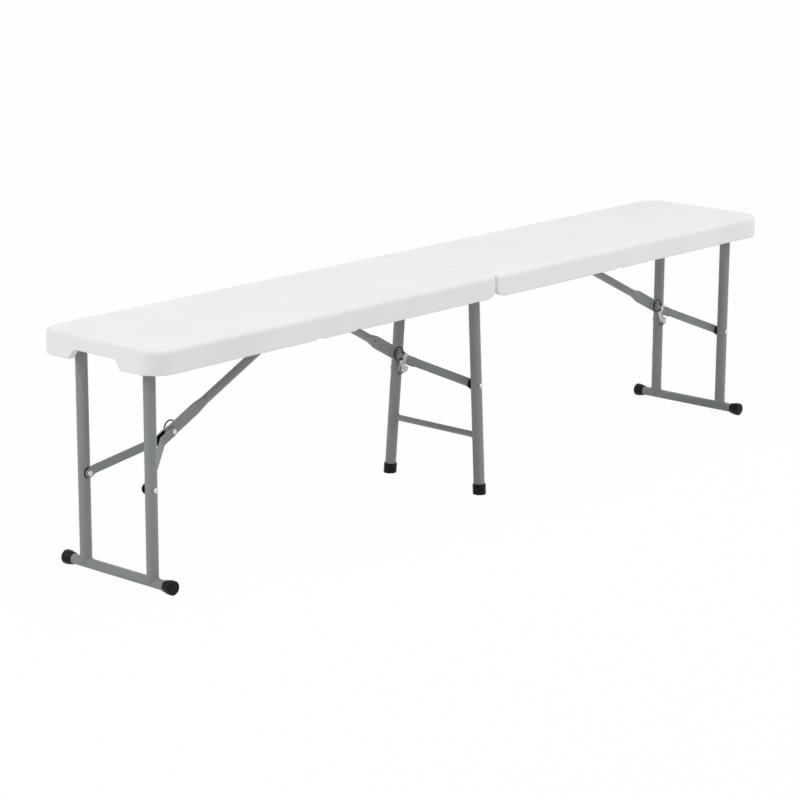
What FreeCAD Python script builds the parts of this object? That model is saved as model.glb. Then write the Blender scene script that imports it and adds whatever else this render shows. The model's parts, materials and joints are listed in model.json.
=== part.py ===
import FreeCAD, Part
import math
import os

os.makedirs("parts", exist_ok=True)

V = FreeCAD.Vector

# Frame of the model: the bench stands opened out on the floor at z = 0.
# X runs along the seat, the seam between the two halves is at x = 0, the front is -Y.

# Whole bench
bench_length = 1800.0
bench_width = 300.0
seat_height = 440.0

# Moulded seat halves
seam_gap = 1.2
skirt_depth = 44.0
seat_top_thickness = 7.5
side_skirt_thickness = 12.5
end_skirt_thickness = 13.0
plan_corner_radius = 44.0
top_edge_radius = 9.0
seam_top_radius = 3.0
seam_foot_radius = 25.0
seam_side_radius = 7.0
pan_ceiling_radius = 3.0

# Finger notch in each end skirt
notch_depth = 18.5
notch_top_width = 104.0
notch_foot_width = 132.0
notch_corner_radius = 9.0

# Relief pocket in each side skirt, where the folded foot caps lie
pocket_length = 106.0
pocket_height = 20.0
pocket_corner_radius = 6.5
pocket_shift = 5.6
pocket_dip_width = 20.0
pocket_dip_depth = 2.5

# Tack-off dimples under the seat
dimple_length = 60.0
dimple_width = 16.0
dimple_corner_radius = 7.0
dimple_depth = 2.0
dimple_pitch = 100.0
dimple_columns = 7
dimple_first_x = 160.0
dimple_rows = (35.0, 98.0)

# Clearances
turning_fit = 0.05
press_clearance = 0.02
face_clearance = 0.3
foot_cap_room = 1.6
side_clearance = 0.5

# Working values: how far a cut reaches past what it cuts, and how close counts as touching
overcut = 1.0
touching = 1e-3

# Folding of the two halves
hinge_drop = 14.5
hinge_leaf_thickness = 3.0
hinge_leaf_inset = 92.0
hinge_eye_radius = 10.0
hinge_leaf_reach = 88.0
hinge_leaf_start = 36.0
hinge_flange_width = 23.0
hinge_neck_rise = 20.5
hinge_heel = 20.0
hinge_wing_drop = 15.0

# Round steel tube
leg_tube_diameter = 22.0
tube_wall = 1.3
foot_tube_diameter = 18.5
crossbar_diameter = 12.0
weld_setback = 3.0

# Pivots of the legs under the seat
pivot_end_gap = 7.5
pivot_plug_length = 10.0
pin_diameter = 8.0
pin_head_diameter = 12.5
pin_head_height = 2.2
head_bevel = 1.2
pin_grip = 8.0
bracket_thickness = 2.5
bracket_ear_radius = 11.0
bracket_plate_width = 26.0
bracket_plate_tail = 13.0
bracket_plate_length = 47.0
bracket_near_screw = 9.5
bracket_bend_radius = 2.0

# End legs
end_leg_inset = 47.3
end_pivot_depth = 22.0
end_leg_fold = 86.8
end_tube_inset = 64.0
foot_axis_height = 13.0
foot_bar_inset = 10.5
foot_cap_diameter = 26.4
foot_cap_mouth_diameter = 21.0
foot_cap_length = 21.0
foot_cap_flare = 11.0
foot_cap_end = 3.4
foot_cap_rounding = 2.0
end_rivet_height = 180.3

# Middle leg, carried by the left half
middle_pivot_x = -18.0
middle_pivot_depth = 24.0
middle_leg_tilt = 0.8
middle_knee_drop = 11.0
middle_top_inset = 56.5
middle_foot_inset = 32.5
middle_bend_radius = 40.0
middle_cap_diameter = 26.0
middle_cap_height = 20.5
middle_cap_floor = 3.0
middle_cap_rounding = 1.4
middle_rivet_height = 216.8
crossbar_height = 116.6

# Braces that hold the legs open
brace_anchor_x = 366.0
brace_anchor_depth = 21.0
arm_width = 16.5
arm_thickness = 3.0
arm_gap_at_knee = 9.2
arm_straight_at_knee = 30.0
arm_straight_at_tube = 12.0
arm_bend_radius = 4.0
link_diameter = 16.0
link_flat_thickness = 5.0
link_knee_width = 24.5
link_knee_flat = 70.0
link_end_width = 20.0
link_end_flat = 14.0
link_taper = 22.0
link_side_offset = 2.8
rivet_diameter = 8.0
rivet_head_diameter = 11.5
rivet_head_height = 2.0
washer_diameter = 20.0
washer_thickness = 1.5
knee_rivet_diameter = 7.0
knee_rivet_head_diameter = 9.5
knee_pin_diameter = 12.0
anchor_plate_half_length = 20.0
anchor_plate_half_width = 30.0
anchor_ear_radius = 9.0

# Knee locks
lock_bracket_start = 21.0
lock_bracket_end = 5.5
lock_sheet = 1.5
lock_bend_radius = 1.2
lock_liner_height = 18.5
lock_liner_start = 43.0
lock_liner_end = 13.0
lock_liner_thickness = 1.5
ring_radius = 13.0
ring_wire_diameter = 2.8
ring_centre_offset = 8.0
ring_bar_distance = 17.0
ring_arc_half_angle = 120.0
ring_bend_radius = 2.5
tail_reach = 35.0
tail_drop = 24.5
tail_tip_radius = 5.0
tail_root_drop = 13.0
tail_hole_diameter = 4.0
tail_hole_rise = 6.5
knuckle_wall = 1.3
knuckle_length = 3.5

# Screws that hold the brackets to the seat
screw_diameter = 4.0
screw_length = 6.0
screw_head_diameter = 8.0
screw_head_height = 1.4

# Places worked out from the sizes above
half_length = bench_length / 2
half_width = bench_width / 2
skirt_foot_z = seat_height - skirt_depth
ceiling_z = seat_height - seat_top_thickness
hinge_z = skirt_foot_z - hinge_drop
pan_half_width = half_width - side_skirt_thickness
pan_end_x = half_length - end_skirt_thickness
leg_radius = leg_tube_diameter / 2
ear_outer_y = pan_half_width - pivot_end_gap
ear_inner_y = ear_outer_y - bracket_thickness
pivot_half = ear_inner_y - side_clearance
pin_radius = pin_diameter / 2
end_leg_x = half_length - end_leg_inset
end_pivot_z = seat_height - end_pivot_depth
end_tube_y = half_width - end_tube_inset
middle_pivot_z = seat_height - middle_pivot_depth
brace_anchor_z = seat_height - brace_anchor_depth
foot_half = half_width - foot_bar_inset
hinge_leaf_y = half_width - hinge_leaf_inset
middle_top_y = half_width - middle_top_inset
middle_foot_y = half_width - middle_foot_inset
middle_knee_height = skirt_foot_z - middle_knee_drop
screw_seat_z = ceiling_z - bracket_thickness


def unit(vector):
    return vector * (1 / vector.Length)


def cylinder_y(radius, low_y, high_y, x, z):
    return Part.makeCylinder(radius, high_y - low_y, V(x, low_y, z), V(0, 1, 0))


def tube_between(diameter, start, end):
    run = end - start
    skin = Part.makeCylinder(diameter / 2, run.Length, start, run)
    bore = Part.makeCylinder(diameter / 2 - tube_wall, run.Length, start, run)
    return skin.cut(bore)


# Closed outline through the points, each corner rounded by a tangent arc of its own radius.
def rounded_outline(points, radii):
    corners = []
    for index, radius in enumerate(radii):
        here = points[index]
        back = unit(points[index - 1] - here)
        ahead = unit(points[(index + 1) % len(points)] - here)
        half_angle = back.getAngle(ahead) / 2
        reach = radius / math.tan(half_angle)
        inward = unit(back + ahead) if radius else V(0, 0, 0)
        crown = here + inward * (radius / math.sin(half_angle) - radius)
        corners.append((here + back * reach, crown, here + ahead * reach))
    edges = []
    for index, (first, crown, last) in enumerate(corners):
        if radii[index]:
            edges.append(Part.Arc(first, crown, last).toShape())
        next_first = corners[(index + 1) % len(corners)][0]
        if last.distanceToPoint(next_first) > touching:
            edges.append(Part.LineSegment(last, next_first).toShape())
    return Part.Wire(edges)


def prism(outline, start, run):
    face = Part.Face(outline)
    face.translate(start)
    return face.extrude(run)


# Points of an open path in the XY plane moved sideways, with mitred bends.
def offset_path(path, distance):
    normals = []
    for start, end in zip(path, path[1:]):
        along = unit(end - start)
        normals.append(V(-along.y, along.x, 0))
    moved = [path[0] + normals[0] * distance]
    for corner, before, after in zip(path[1:-1], normals, normals[1:]):
        bisector = unit(before + after)
        moved.append(corner + bisector * (distance / bisector.dot(before)))
    moved.append(path[-1] + normals[-1] * distance)
    return moved


# Flat strip bent along a path in the XY plane, its width standing along Z.
def bent_strip(path, thickness, width, bend_radius):
    left_radii = [0.0]
    right_radii = [0.0]
    for before, corner, after in zip(path, path[1:], path[2:]):
        turn = (corner - before).cross(after - corner).z
        left_radii.append(bend_radius if turn > 0 else bend_radius + thickness)
        right_radii.append(bend_radius + thickness if turn > 0 else bend_radius)
    left_radii.append(0.0)
    right_radii.append(0.0)
    left = offset_path(path, thickness / 2)
    right = offset_path(path, -thickness / 2)
    outline = rounded_outline(left + right[::-1], left_radii + right_radii[::-1])
    return prism(outline, V(0, 0, -width / 2), V(0, 0, width))


def mirror_x(shape):
    return shape.mirror(V(0, 0, 0), V(1, 0, 0))


def mirror_y(shape):
    return shape.mirror(V(0, 0, 0), V(0, 1, 0))


def pair_y(shape):
    return [shape, mirror_y(shape)]


def save(name, solids):
    shape = solids[0] if len(solids) == 1 else Part.makeCompound(solids)
    shape.exportStep("parts/" + name + ".step")


# One leg with its brace. The brace runs from the rivet on the leg up to its anchor under
# the seat, towards heading (+1 or -1) along X, and the leg folds up that same way.
class LegSet:
    def __init__(self, name, heading, pivot, rivet, anchor_x, fold, lock_side):
        self.name = name
        self.heading = heading
        self.pivot = pivot
        self.rivet = rivet
        self.anchor = V(anchor_x, 0, brace_anchor_z)
        self.fold = fold
        self.lock_side = lock_side
        self.leg_axis = V(0, -heading, 0)
        self.reach = self.anchor.distanceToPoint(rivet)
        turn = FreeCAD.Rotation(self.leg_axis, fold)
        self.folded_rivet = pivot + turn.multVec(rivet - pivot)
        folded_reach = self.anchor.distanceToPoint(self.folded_rivet)
        # Opened, arm and link lie end to end. Folded, the arm doubles back along the link.
        self.arm_length = (self.reach - folded_reach) / 2
        self.link_length = (self.reach + folded_reach) / 2
        run = self.anchor - rivet
        folded_run = self.anchor - self.folded_rivet
        self.slope = math.degrees(math.atan2(run.z, abs(run.x)))
        folded_slope = math.degrees(math.atan2(folded_run.z, abs(folded_run.x)))
        self.link_turn = self.slope - folded_slope
        self.arm_turn = 180 - self.link_turn - fold

    # Moves a shape from the brace's own frame, with the rivet at the origin and the knee
    # along +X, to its place on the bench.
    def place(self, shape):
        placed = mirror_x(shape) if self.heading < 0 else shape.copy()
        placed.rotate(V(0, 0, 0), V(0, 1, 0), -self.heading * self.slope)
        placed.translate(self.rivet)
        return placed

    # The lock sits on one arm only.
    def place_on_lock_side(self, shape):
        return self.place(mirror_y(shape) if self.lock_side < 0 else shape)


end_rivet = V(end_leg_x, 0, end_rivet_height)
end_pivot = V(end_leg_x, 0, end_pivot_z)
flip = V(-end_leg_x * 2, 0, 0)
middle_pivot = V(middle_pivot_x, 0, middle_pivot_z)


# Turns a shape of the middle leg, built upright, about its pivot to the tilt it stands at.
def tilted(shape):
    turned = shape.copy()
    turned.rotate(middle_pivot, V(0, 1, 0), middle_leg_tilt)
    return turned


middle_rivet = tilted(Part.Vertex(V(0, 0, middle_rivet_height))).Point
left_set = LegSet("left", 1, end_pivot + flip, end_rivet + flip, -brace_anchor_x, end_leg_fold, 1)
middle_set = LegSet("middle", -1, middle_pivot, middle_rivet, -brace_anchor_x,
                    90 - middle_leg_tilt, -1)
right_set = LegSet("right", -1, end_pivot, end_rivet, brace_anchor_x, end_leg_fold, -1)
leg_sets = (left_set, middle_set, right_set)

# Where the foot bar of an end leg lies once the leg is folded
foot_swing = FreeCAD.Rotation(left_set.leg_axis, end_leg_fold)
folded_foot = left_set.pivot + foot_swing.multVec(V(0, 0, foot_axis_height - end_pivot_z))
pocket_centre_x = folded_foot.x + pocket_shift


# Seat halves

# Plan of the seat with a rounded end, reaching past the seam, and soft top edges.
def seat_block():
    plan = rounded_outline(
        [V(-half_length, -half_width, 0), V(half_length, -half_width, 0),
         V(half_length, half_width, 0), V(-half_length, half_width, 0)],
        [plan_corner_radius] * 4)
    block = prism(plan, V(0, 0, skirt_foot_z), V(0, 0, skirt_depth))
    rim = [edge for edge in block.Edges if edge.BoundBox.ZMin > seat_height - touching]
    return block.makeFillet(top_edge_radius, rim)


# Left half in side view and in plan, with its rounded corners at the seam.
def seam_cutter():
    seam_x = -seam_gap / 2
    past_end_x = -half_length - overcut
    side_view = rounded_outline(
        [V(past_end_x, 0, skirt_foot_z), V(seam_x, 0, skirt_foot_z),
         V(seam_x, 0, seat_height), V(past_end_x, 0, seat_height)],
        [0.0, seam_foot_radius, seam_top_radius, 0.0])
    plan = rounded_outline(
        [V(past_end_x, -half_width, 0), V(seam_x, -half_width, 0),
         V(seam_x, half_width, 0), V(past_end_x, half_width, 0)],
        [0.0, seam_side_radius, seam_side_radius, 0.0])
    side_prism = prism(side_view, V(0, -half_width, 0), V(0, bench_width, 0))
    return side_prism.common(prism(plan, V(0, 0, skirt_foot_z), V(0, 0, skirt_depth)))


# Open space under the seat, from the end skirt to past the seam.
def seat_pan():
    corner = plan_corner_radius - end_skirt_thickness
    plan = rounded_outline(
        [V(-pan_end_x, -pan_half_width, 0), V(pan_end_x, -pan_half_width, 0),
         V(pan_end_x, pan_half_width, 0), V(-pan_end_x, pan_half_width, 0)],
        [corner] * 4)
    depth = ceiling_z - skirt_foot_z
    pan = prism(plan, V(0, 0, skirt_foot_z - overcut), V(0, 0, depth + overcut))
    rim = [edge for edge in pan.Edges if edge.BoundBox.ZMin > ceiling_z - touching]
    return pan.makeFillet(pan_ceiling_radius, rim)


def finger_notch():
    top = notch_top_width / 2
    foot = notch_foot_width / 2
    lift = 2 * notch_corner_radius
    outline = rounded_outline(
        [V(0, -foot, -lift), V(0, foot, -lift), V(0, foot, 0),
         V(0, top, notch_depth), V(0, -top, notch_depth), V(0, -foot, 0)],
        [0.0, 0.0, notch_corner_radius, notch_corner_radius, notch_corner_radius,
         notch_corner_radius])
    start = V(-half_length - overcut, 0, skirt_foot_z)
    return prism(outline, start, V(end_skirt_thickness + 2 * overcut, 0, 0))


# Thinned skirts beside the folded foot bar, with a shallow dip at each end of the pocket.
def foot_pocket():
    half_pocket = foot_half + foot_cap_room
    low_x = pocket_centre_x - pocket_length / 2
    pocket = Part.makeBox(pocket_length, 2 * half_pocket, pocket_height + overcut,
                          V(low_x, -half_pocket, skirt_foot_z - overcut))
    corners = [edge for edge in pocket.Edges
               if edge.BoundBox.XLength < touching and edge.BoundBox.ZLength < touching
               and edge.BoundBox.ZMin > skirt_foot_z]
    pocket = pocket.makeFillet(pocket_corner_radius, corners)
    dip_radius = ((pocket_dip_width / 2) ** 2 + pocket_dip_depth ** 2) / (2 * pocket_dip_depth)
    dip_z = skirt_foot_z + pocket_dip_depth - dip_radius
    for end_x in (low_x, low_x + pocket_length):
        pocket = pocket.fuse(cylinder_y(dip_radius, -half_width, half_width, end_x, dip_z))
    return pocket


def ceiling_dimples():
    dimples = []
    end = dimple_width / 2
    for column in range(dimple_columns):
        middle_x = -(dimple_first_x + column * dimple_pitch)
        for row_y in dimple_rows:
            low = V(middle_x - dimple_length / 2, row_y - end, 0)
            outline = rounded_outline(
                [low, low + V(dimple_length, 0, 0), low + V(dimple_length, dimple_width, 0),
                 low + V(0, dimple_width, 0)],
                [dimple_corner_radius] * 4)
            dimple = prism(outline, V(0, 0, ceiling_z - overcut),
                           V(0, 0, dimple_depth + overcut))
            dimples += pair_y(dimple)
    return dimples


# Screw places of the left half and of the right half, at the undersides of the brackets.
def pivot_screw_places(leg_set):
    places = []
    plate_y = ear_outer_y - bracket_plate_width / 2 - bracket_thickness
    far_screw = bracket_plate_length - bracket_plate_tail - screw_head_diameter
    for distance in (bracket_near_screw, far_screw):
        x = leg_set.pivot.x + leg_set.heading * distance
        for side in (-1, 1):
            places.append(V(x, side * plate_y, screw_seat_z))
    return places


def anchor_screw_places(anchor_x):
    places = []
    step_x = anchor_plate_half_length - screw_head_diameter
    step_y = anchor_plate_half_width - screw_head_diameter
    for x_side in (-1, 1):
        for y_side in (-1, 1):
            places.append(V(anchor_x + x_side * step_x, y_side * step_y, screw_seat_z))
    return places


def hinge_screw_places(x_side, flange_y):
    places = []
    seat_z = ceiling_z - hinge_leaf_thickness
    for x in (hinge_leaf_start + screw_head_diameter, hinge_leaf_reach - screw_head_diameter):
        for y_side in (-1, 1):
            places.append(V(x_side * x, y_side * flange_y, seat_z))
    return places


left_flange_y = hinge_leaf_y + hinge_leaf_thickness - hinge_flange_width / 2
right_leaf_y = hinge_leaf_y + hinge_leaf_thickness + side_clearance
right_flange_y = right_leaf_y + hinge_flange_width / 2
left_flange_screw_y = left_flange_y - hinge_leaf_thickness
right_flange_screw_y = right_flange_y + hinge_leaf_thickness

left_screws = (pivot_screw_places(left_set) + pivot_screw_places(middle_set)
               + anchor_screw_places(-brace_anchor_x)
               + hinge_screw_places(-1, left_flange_screw_y))
right_screws = (pivot_screw_places(right_set) + anchor_screw_places(brace_anchor_x)
                + hinge_screw_places(1, right_flange_screw_y))


def screw(place):
    head = Part.makeCylinder(screw_head_diameter / 2, screw_head_height,
                             place - V(0, 0, screw_head_height))
    shank_top = ceiling_z + screw_length - (ceiling_z - place.z)
    shank = Part.makeCylinder(screw_diameter / 2, shank_top - place.z, place)
    return head.fuse(shank).removeSplitter()


def screw_bore(place):
    start = V(place.x, place.y, place.z - overcut)
    depth = screw_length + face_clearance + overcut
    return Part.makeCylinder(screw_diameter / 2 + press_clearance, depth, start)


def seat_half(side, screws):
    shell = seat_block().common(seam_cutter()).cut(seat_pan())
    shell = shell.cut(finger_notch()).cut(foot_pocket())
    shell = shell.cut(ceiling_dimples())
    if side > 0:
        shell = mirror_x(shell)
    return shell.cut([screw_bore(place) for place in screws])


save("seat_left", [seat_half(-1, left_screws).Solids[0]])
save("seat_right", [seat_half(1, right_screws).Solids[0]])


# Brackets, pins and screws under the seat

# Bent plate with one ear for the end of a pivot tube, on the +Y side.
def pivot_bracket(leg_set):
    x = leg_set.pivot.x
    z = leg_set.pivot.z
    tail_x = x - leg_set.heading * bracket_plate_tail
    low_x = min(tail_x, tail_x + leg_set.heading * bracket_plate_length)
    plate = Part.makeBox(bracket_plate_length, bracket_plate_width, bracket_thickness,
                         V(low_x, ear_outer_y - bracket_plate_width, screw_seat_z))
    ear = Part.makeBox(2 * bracket_ear_radius, bracket_thickness, ceiling_z - z,
                       V(x - bracket_ear_radius, ear_inner_y, z))
    ear = ear.fuse(cylinder_y(bracket_ear_radius, ear_inner_y, ear_outer_y, x, z))
    body = plate.fuse(ear).removeSplitter()
    bend = [edge for edge in body.Edges
            if edge.BoundBox.YMin > ear_outer_y - touching
            and edge.BoundBox.ZMin > ceiling_z - touching]
    body = body.makeFillet(bracket_bend_radius, bend)
    hole = cylinder_y(pin_radius + press_clearance, ear_inner_y - overcut,
                      ear_outer_y + overcut, x, z)
    body = body.cut(hole)
    holes = [screw_bore(place) for place in pivot_screw_places(leg_set)]
    return body.cut(holes)


# Headed pin through the ear into the plug of the pivot tube, on the +Y side.
def pivot_pin(leg_set):
    x = leg_set.pivot.x
    z = leg_set.pivot.z
    shank = cylinder_y(pin_radius, ear_inner_y - pin_grip, ear_outer_y, x, z)
    head_top = ear_outer_y + pin_head_height
    head = cylinder_y(pin_head_diameter / 2, ear_outer_y, head_top, x, z)
    rim = [edge for edge in head.Edges if edge.BoundBox.YMin > head_top - touching]
    head = head.makeChamfer(head_bevel, rim)
    return shank.fuse(head).removeSplitter()


# U-shaped bracket that holds the upper ends of the links between its ears.
def anchor_bracket(anchor_x, half_gap):
    plate = Part.makeBox(2 * anchor_plate_half_length, 2 * anchor_plate_half_width,
                         bracket_thickness,
                         V(anchor_x - anchor_plate_half_length, -anchor_plate_half_width,
                           screw_seat_z))
    corners = [edge for edge in plate.Edges
               if edge.BoundBox.XLength < touching and edge.BoundBox.YLength < touching]
    body = plate.makeFillet(screw_head_diameter / 2, corners)
    outer = half_gap + bracket_thickness
    ear = Part.makeBox(2 * anchor_ear_radius, bracket_thickness, screw_seat_z - brace_anchor_z,
                       V(anchor_x - anchor_ear_radius, half_gap, brace_anchor_z))
    ear = ear.fuse(cylinder_y(anchor_ear_radius, half_gap, outer, anchor_x, brace_anchor_z))
    for side in pair_y(ear.removeSplitter()):
        body = body.fuse(side)
    hole = cylinder_y(pin_radius + press_clearance, -outer - overcut, outer + overcut,
                      anchor_x, brace_anchor_z)
    body = body.removeSplitter().cut(hole)
    return body.cut([screw_bore(place) for place in anchor_screw_places(anchor_x)])


def anchor_pin(anchor_x, half_gap):
    outer = half_gap + bracket_thickness
    pin = cylinder_y(pin_radius, -outer, outer, anchor_x, brace_anchor_z)
    head = cylinder_y(pin_head_diameter / 2, outer, outer + pin_head_height,
                      anchor_x, brace_anchor_z)
    rim = [edge for edge in head.Edges
           if edge.BoundBox.YMin > outer + pin_head_height - touching]
    for side in pair_y(head.makeChamfer(head_bevel, rim)):
        pin = pin.fuse(side)
    return pin.removeSplitter()


double_gap = link_side_offset + link_flat_thickness / 2 + face_clearance
single_gap = link_flat_thickness / 2 + face_clearance

for leg_set in leg_sets:
    save("pivot_brackets_" + leg_set.name, pair_y(pivot_bracket(leg_set)))
save("brace_bracket_left", [anchor_bracket(-brace_anchor_x, double_gap)])
save("brace_bracket_right", [anchor_bracket(brace_anchor_x, single_gap)])
save("pivot_pins_left", pair_y(pivot_pin(left_set)) + pair_y(pivot_pin(middle_set))
     + [anchor_pin(-brace_anchor_x, double_gap)])
save("pivot_pins_right", pair_y(pivot_pin(right_set))
     + [anchor_pin(brace_anchor_x, single_gap)])
save("bracket_screws_left", [screw(place) for place in left_screws])
save("bracket_screws_right", [screw(place) for place in right_screws])


# Hinge of the two halves

# Leaf of the left half on the +Y side. Its neck passes below the middle pivot tube.
def hinge_leaf(inner_y, flange_low_y, screw_places):
    eye_foot = hinge_z - hinge_eye_radius
    neck_z = hinge_z + hinge_neck_rise
    wing_z = ceiling_z - hinge_wing_drop
    outline = rounded_outline(
        [V(0, 0, eye_foot), V(0, 0, hinge_z + hinge_eye_radius),
         V(-hinge_leaf_start, 0, neck_z), V(-hinge_leaf_start, 0, ceiling_z),
         V(-hinge_leaf_reach, 0, ceiling_z), V(-hinge_leaf_reach, 0, wing_z),
         V(-hinge_heel, 0, eye_foot)],
        [0.0, 0.0, hinge_leaf_thickness, 0.0, 0.0, 2 * hinge_leaf_thickness,
         4 * hinge_leaf_thickness])
    leaf = prism(outline, V(0, inner_y, 0), V(0, hinge_leaf_thickness, 0))
    outer_y = inner_y + hinge_leaf_thickness
    leaf = leaf.fuse(cylinder_y(hinge_eye_radius, inner_y, outer_y, 0, hinge_z))
    flange = Part.makeBox(hinge_leaf_reach - hinge_leaf_start, hinge_flange_width,
                          hinge_leaf_thickness,
                          V(-hinge_leaf_reach, flange_low_y,
                            ceiling_z - hinge_leaf_thickness))
    leaf = leaf.fuse(flange).removeSplitter()
    bore = cylinder_y(pin_radius + turning_fit, inner_y - overcut, outer_y + overcut,
                      0, hinge_z)
    return leaf.cut([bore] + [screw_bore(place) for place in screw_places])


left_leaf_screws = hinge_screw_places(-1, left_flange_screw_y)
right_leaf_screws = hinge_screw_places(-1, right_flange_screw_y)
left_leaf = hinge_leaf(hinge_leaf_y, left_flange_y - hinge_flange_width / 2, left_leaf_screws)
right_leaf = mirror_x(hinge_leaf(right_leaf_y, right_leaf_y, right_leaf_screws))
save("hinge_leaves_left", pair_y(left_leaf))
save("hinge_leaves_right", pair_y(right_leaf))


def hinge_pin():
    inner_y = hinge_leaf_y - face_clearance
    outer_y = right_leaf_y + hinge_leaf_thickness + face_clearance
    pin = cylinder_y(pin_radius, inner_y, outer_y, 0, hinge_z)
    for low_y in (inner_y - pin_head_height, outer_y):
        head = cylinder_y(pin_head_diameter / 2, low_y, low_y + pin_head_height, 0, hinge_z)
        pin = pin.fuse(head)
    return pin.removeSplitter()


save("hinge_pins", pair_y(hinge_pin()))


# Legs

# Tube with plugged ends that turns on the two pins.
def pivot_tube(leg_set):
    x = leg_set.pivot.x
    z = leg_set.pivot.z
    tube = cylinder_y(leg_radius, -pivot_half, pivot_half, x, z)
    hollow_half = pivot_half - pivot_plug_length
    hollow = cylinder_y(leg_radius - tube_wall, -hollow_half, hollow_half, x, z)
    bore = cylinder_y(pin_radius + turning_fit, -pivot_half, pivot_half, x, z)
    return tube.cut(hollow).cut(bore)


def end_leg_tube(leg_set):
    x = leg_set.pivot.x
    start = V(x, end_tube_y, foot_axis_height + weld_setback)
    end = V(x, end_tube_y, end_pivot_z - weld_setback)
    tube = tube_between(leg_tube_diameter, start, end)
    tube = tube.cut(cylinder_y(leg_radius, 0, half_width, x, end_pivot_z))
    tube = tube.cut(cylinder_y(foot_tube_diameter / 2, 0, half_width, x, foot_axis_height))
    rivet_hole = cylinder_y(rivet_diameter / 2 + press_clearance, 0, half_width,
                            x, end_rivet_height)
    return tube.cut(rivet_hole)


def foot_tube(leg_set):
    half_tube = foot_half - foot_cap_end
    x = leg_set.pivot.x
    return tube_between(foot_tube_diameter, V(x, -half_tube, foot_axis_height),
                        V(x, half_tube, foot_axis_height))


# Plastic sleeve on the end of the foot bar. It flares outwards and has a small flat where
# it stands.
def foot_cap(leg_set):
    x = leg_set.pivot.x
    z = foot_axis_height
    start_y = foot_half - foot_cap_length
    full_y = start_y + foot_cap_flare
    sleeve = cylinder_y(foot_cap_diameter / 2, full_y, foot_half, x, z)
    rim = [edge for edge in sleeve.Edges if edge.BoundBox.YMin > foot_half - touching]
    sleeve = sleeve.makeFillet(foot_cap_rounding, rim)
    flare = Part.makeCone(foot_cap_mouth_diameter / 2, foot_cap_diameter / 2, foot_cap_flare,
                          V(x, start_y, z), V(0, 1, 0))
    bore = cylinder_y(foot_tube_diameter / 2 + press_clearance, start_y - overcut,
                      foot_half - foot_cap_end, x, z)
    below = Part.makeBox(foot_cap_diameter, foot_cap_length, foot_cap_diameter,
                         V(x - foot_cap_diameter / 2, start_y, -foot_cap_diameter))
    return sleeve.fuse(flare).cut(bore).cut(below)


for leg_set in (left_set, right_set):
    name = leg_set.name
    rear_tube = end_leg_tube(leg_set)
    save("pivot_tube_" + name, [pivot_tube(leg_set)])
    save("leg_tube_rear_" + name, [rear_tube])
    save("leg_tube_front_" + name, [mirror_y(rear_tube)])
    save("foot_tube_" + name, [foot_tube(leg_set)])
    save("foot_caps_" + name, pair_y(foot_cap(leg_set)))

# Middle leg, built upright below the seam and then tilted: the tubes lean outwards to the
# floor.
middle_lean = unit(V(0, middle_top_y - middle_foot_y, middle_knee_height))
lean_tangent = (middle_foot_y - middle_top_y) / middle_knee_height


def middle_tube_y(height):
    return middle_foot_y - lean_tangent * height


# Centre line of the rear tube: up from the floor, then a bend back to the pivot tube.
def middle_centre_line():
    foot = V(0, middle_tube_y(middle_cap_floor), middle_cap_floor)
    knee = V(0, middle_top_y, middle_knee_height)
    top = V(middle_pivot_x, middle_top_y, middle_pivot_z)
    top = top + unit(knee - top) * weld_setback
    back = unit(foot - knee)
    ahead = unit(top - knee)
    half_angle = back.getAngle(ahead) / 2
    reach = middle_bend_radius / math.tan(half_angle)
    crown = knee + unit(back + ahead) * (middle_bend_radius / math.sin(half_angle)
                                         - middle_bend_radius)
    first = knee + back * reach
    last = knee + ahead * reach
    return Part.Wire([Part.LineSegment(foot, first).toShape(),
                      Part.Arc(first, crown, last).toShape(),
                      Part.LineSegment(last, top).toShape()])


def pipe_along(path, radius, start, direction):
    section = Part.Wire(Part.Circle(start, direction, radius).toShape())
    return path.makePipeShell([section], True, False)


def middle_leg_tube():
    path = middle_centre_line()
    start = V(0, middle_tube_y(middle_cap_floor), middle_cap_floor)
    skin = pipe_along(path, leg_radius, start, middle_lean)
    core = pipe_along(path, leg_radius - tube_wall, start, middle_lean)
    tube = skin.cut(core)
    tube = tube.cut(cylinder_y(leg_radius, 0, half_width, middle_pivot_x, middle_pivot_z))
    rivet_hole = cylinder_y(rivet_diameter / 2 + press_clearance, 0, half_width,
                            0, middle_rivet_height)
    return tilted(tube.cut(rivet_hole))


# Sleeve that stands flat on the floor, along the leaning tube.
def middle_cap():
    low = V(0, middle_tube_y(-middle_cap_height), -middle_cap_height)
    top = V(0, middle_tube_y(middle_cap_height), middle_cap_height)
    floor = V(0, middle_tube_y(middle_cap_floor), middle_cap_floor)
    sleeve = Part.makeCylinder(middle_cap_diameter / 2, (top - low).Length, low, middle_lean)
    rim = [edge for edge in sleeve.Edges if edge.BoundBox.ZMin > 0]
    sleeve = sleeve.makeFillet(middle_cap_rounding, rim)
    bore = Part.makeCylinder(leg_radius + press_clearance, middle_cap_height * 2, floor,
                             middle_lean)
    reach = middle_cap_diameter * 2
    below = Part.makeBox(reach, reach, reach, V(-reach / 2, middle_foot_y - reach / 2, -reach))
    return tilted(sleeve.cut(bore)).cut(below)


def crossbar():
    half_bar = middle_tube_y(crossbar_height)
    bar = tube_between(crossbar_diameter, V(0, -half_bar, crossbar_height),
                       V(0, half_bar, crossbar_height))
    foot = V(0, middle_foot_y, 0)
    leg = Part.makeCylinder(leg_radius, middle_knee_height, foot, middle_lean)
    return tilted(bar.cut(pair_y(leg)).Solids[0])


rear_tube = middle_leg_tube()
save("pivot_tube_middle", [pivot_tube(middle_set)])
save("leg_tube_rear_middle", [rear_tube])
save("leg_tube_front_middle", [mirror_y(rear_tube)])
save("crossbar_middle", [crossbar()])
save("foot_caps_middle", pair_y(middle_cap()))


# Braces, in the brace's own frame: the rivet on the leg at the origin, the knee along +X

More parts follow.
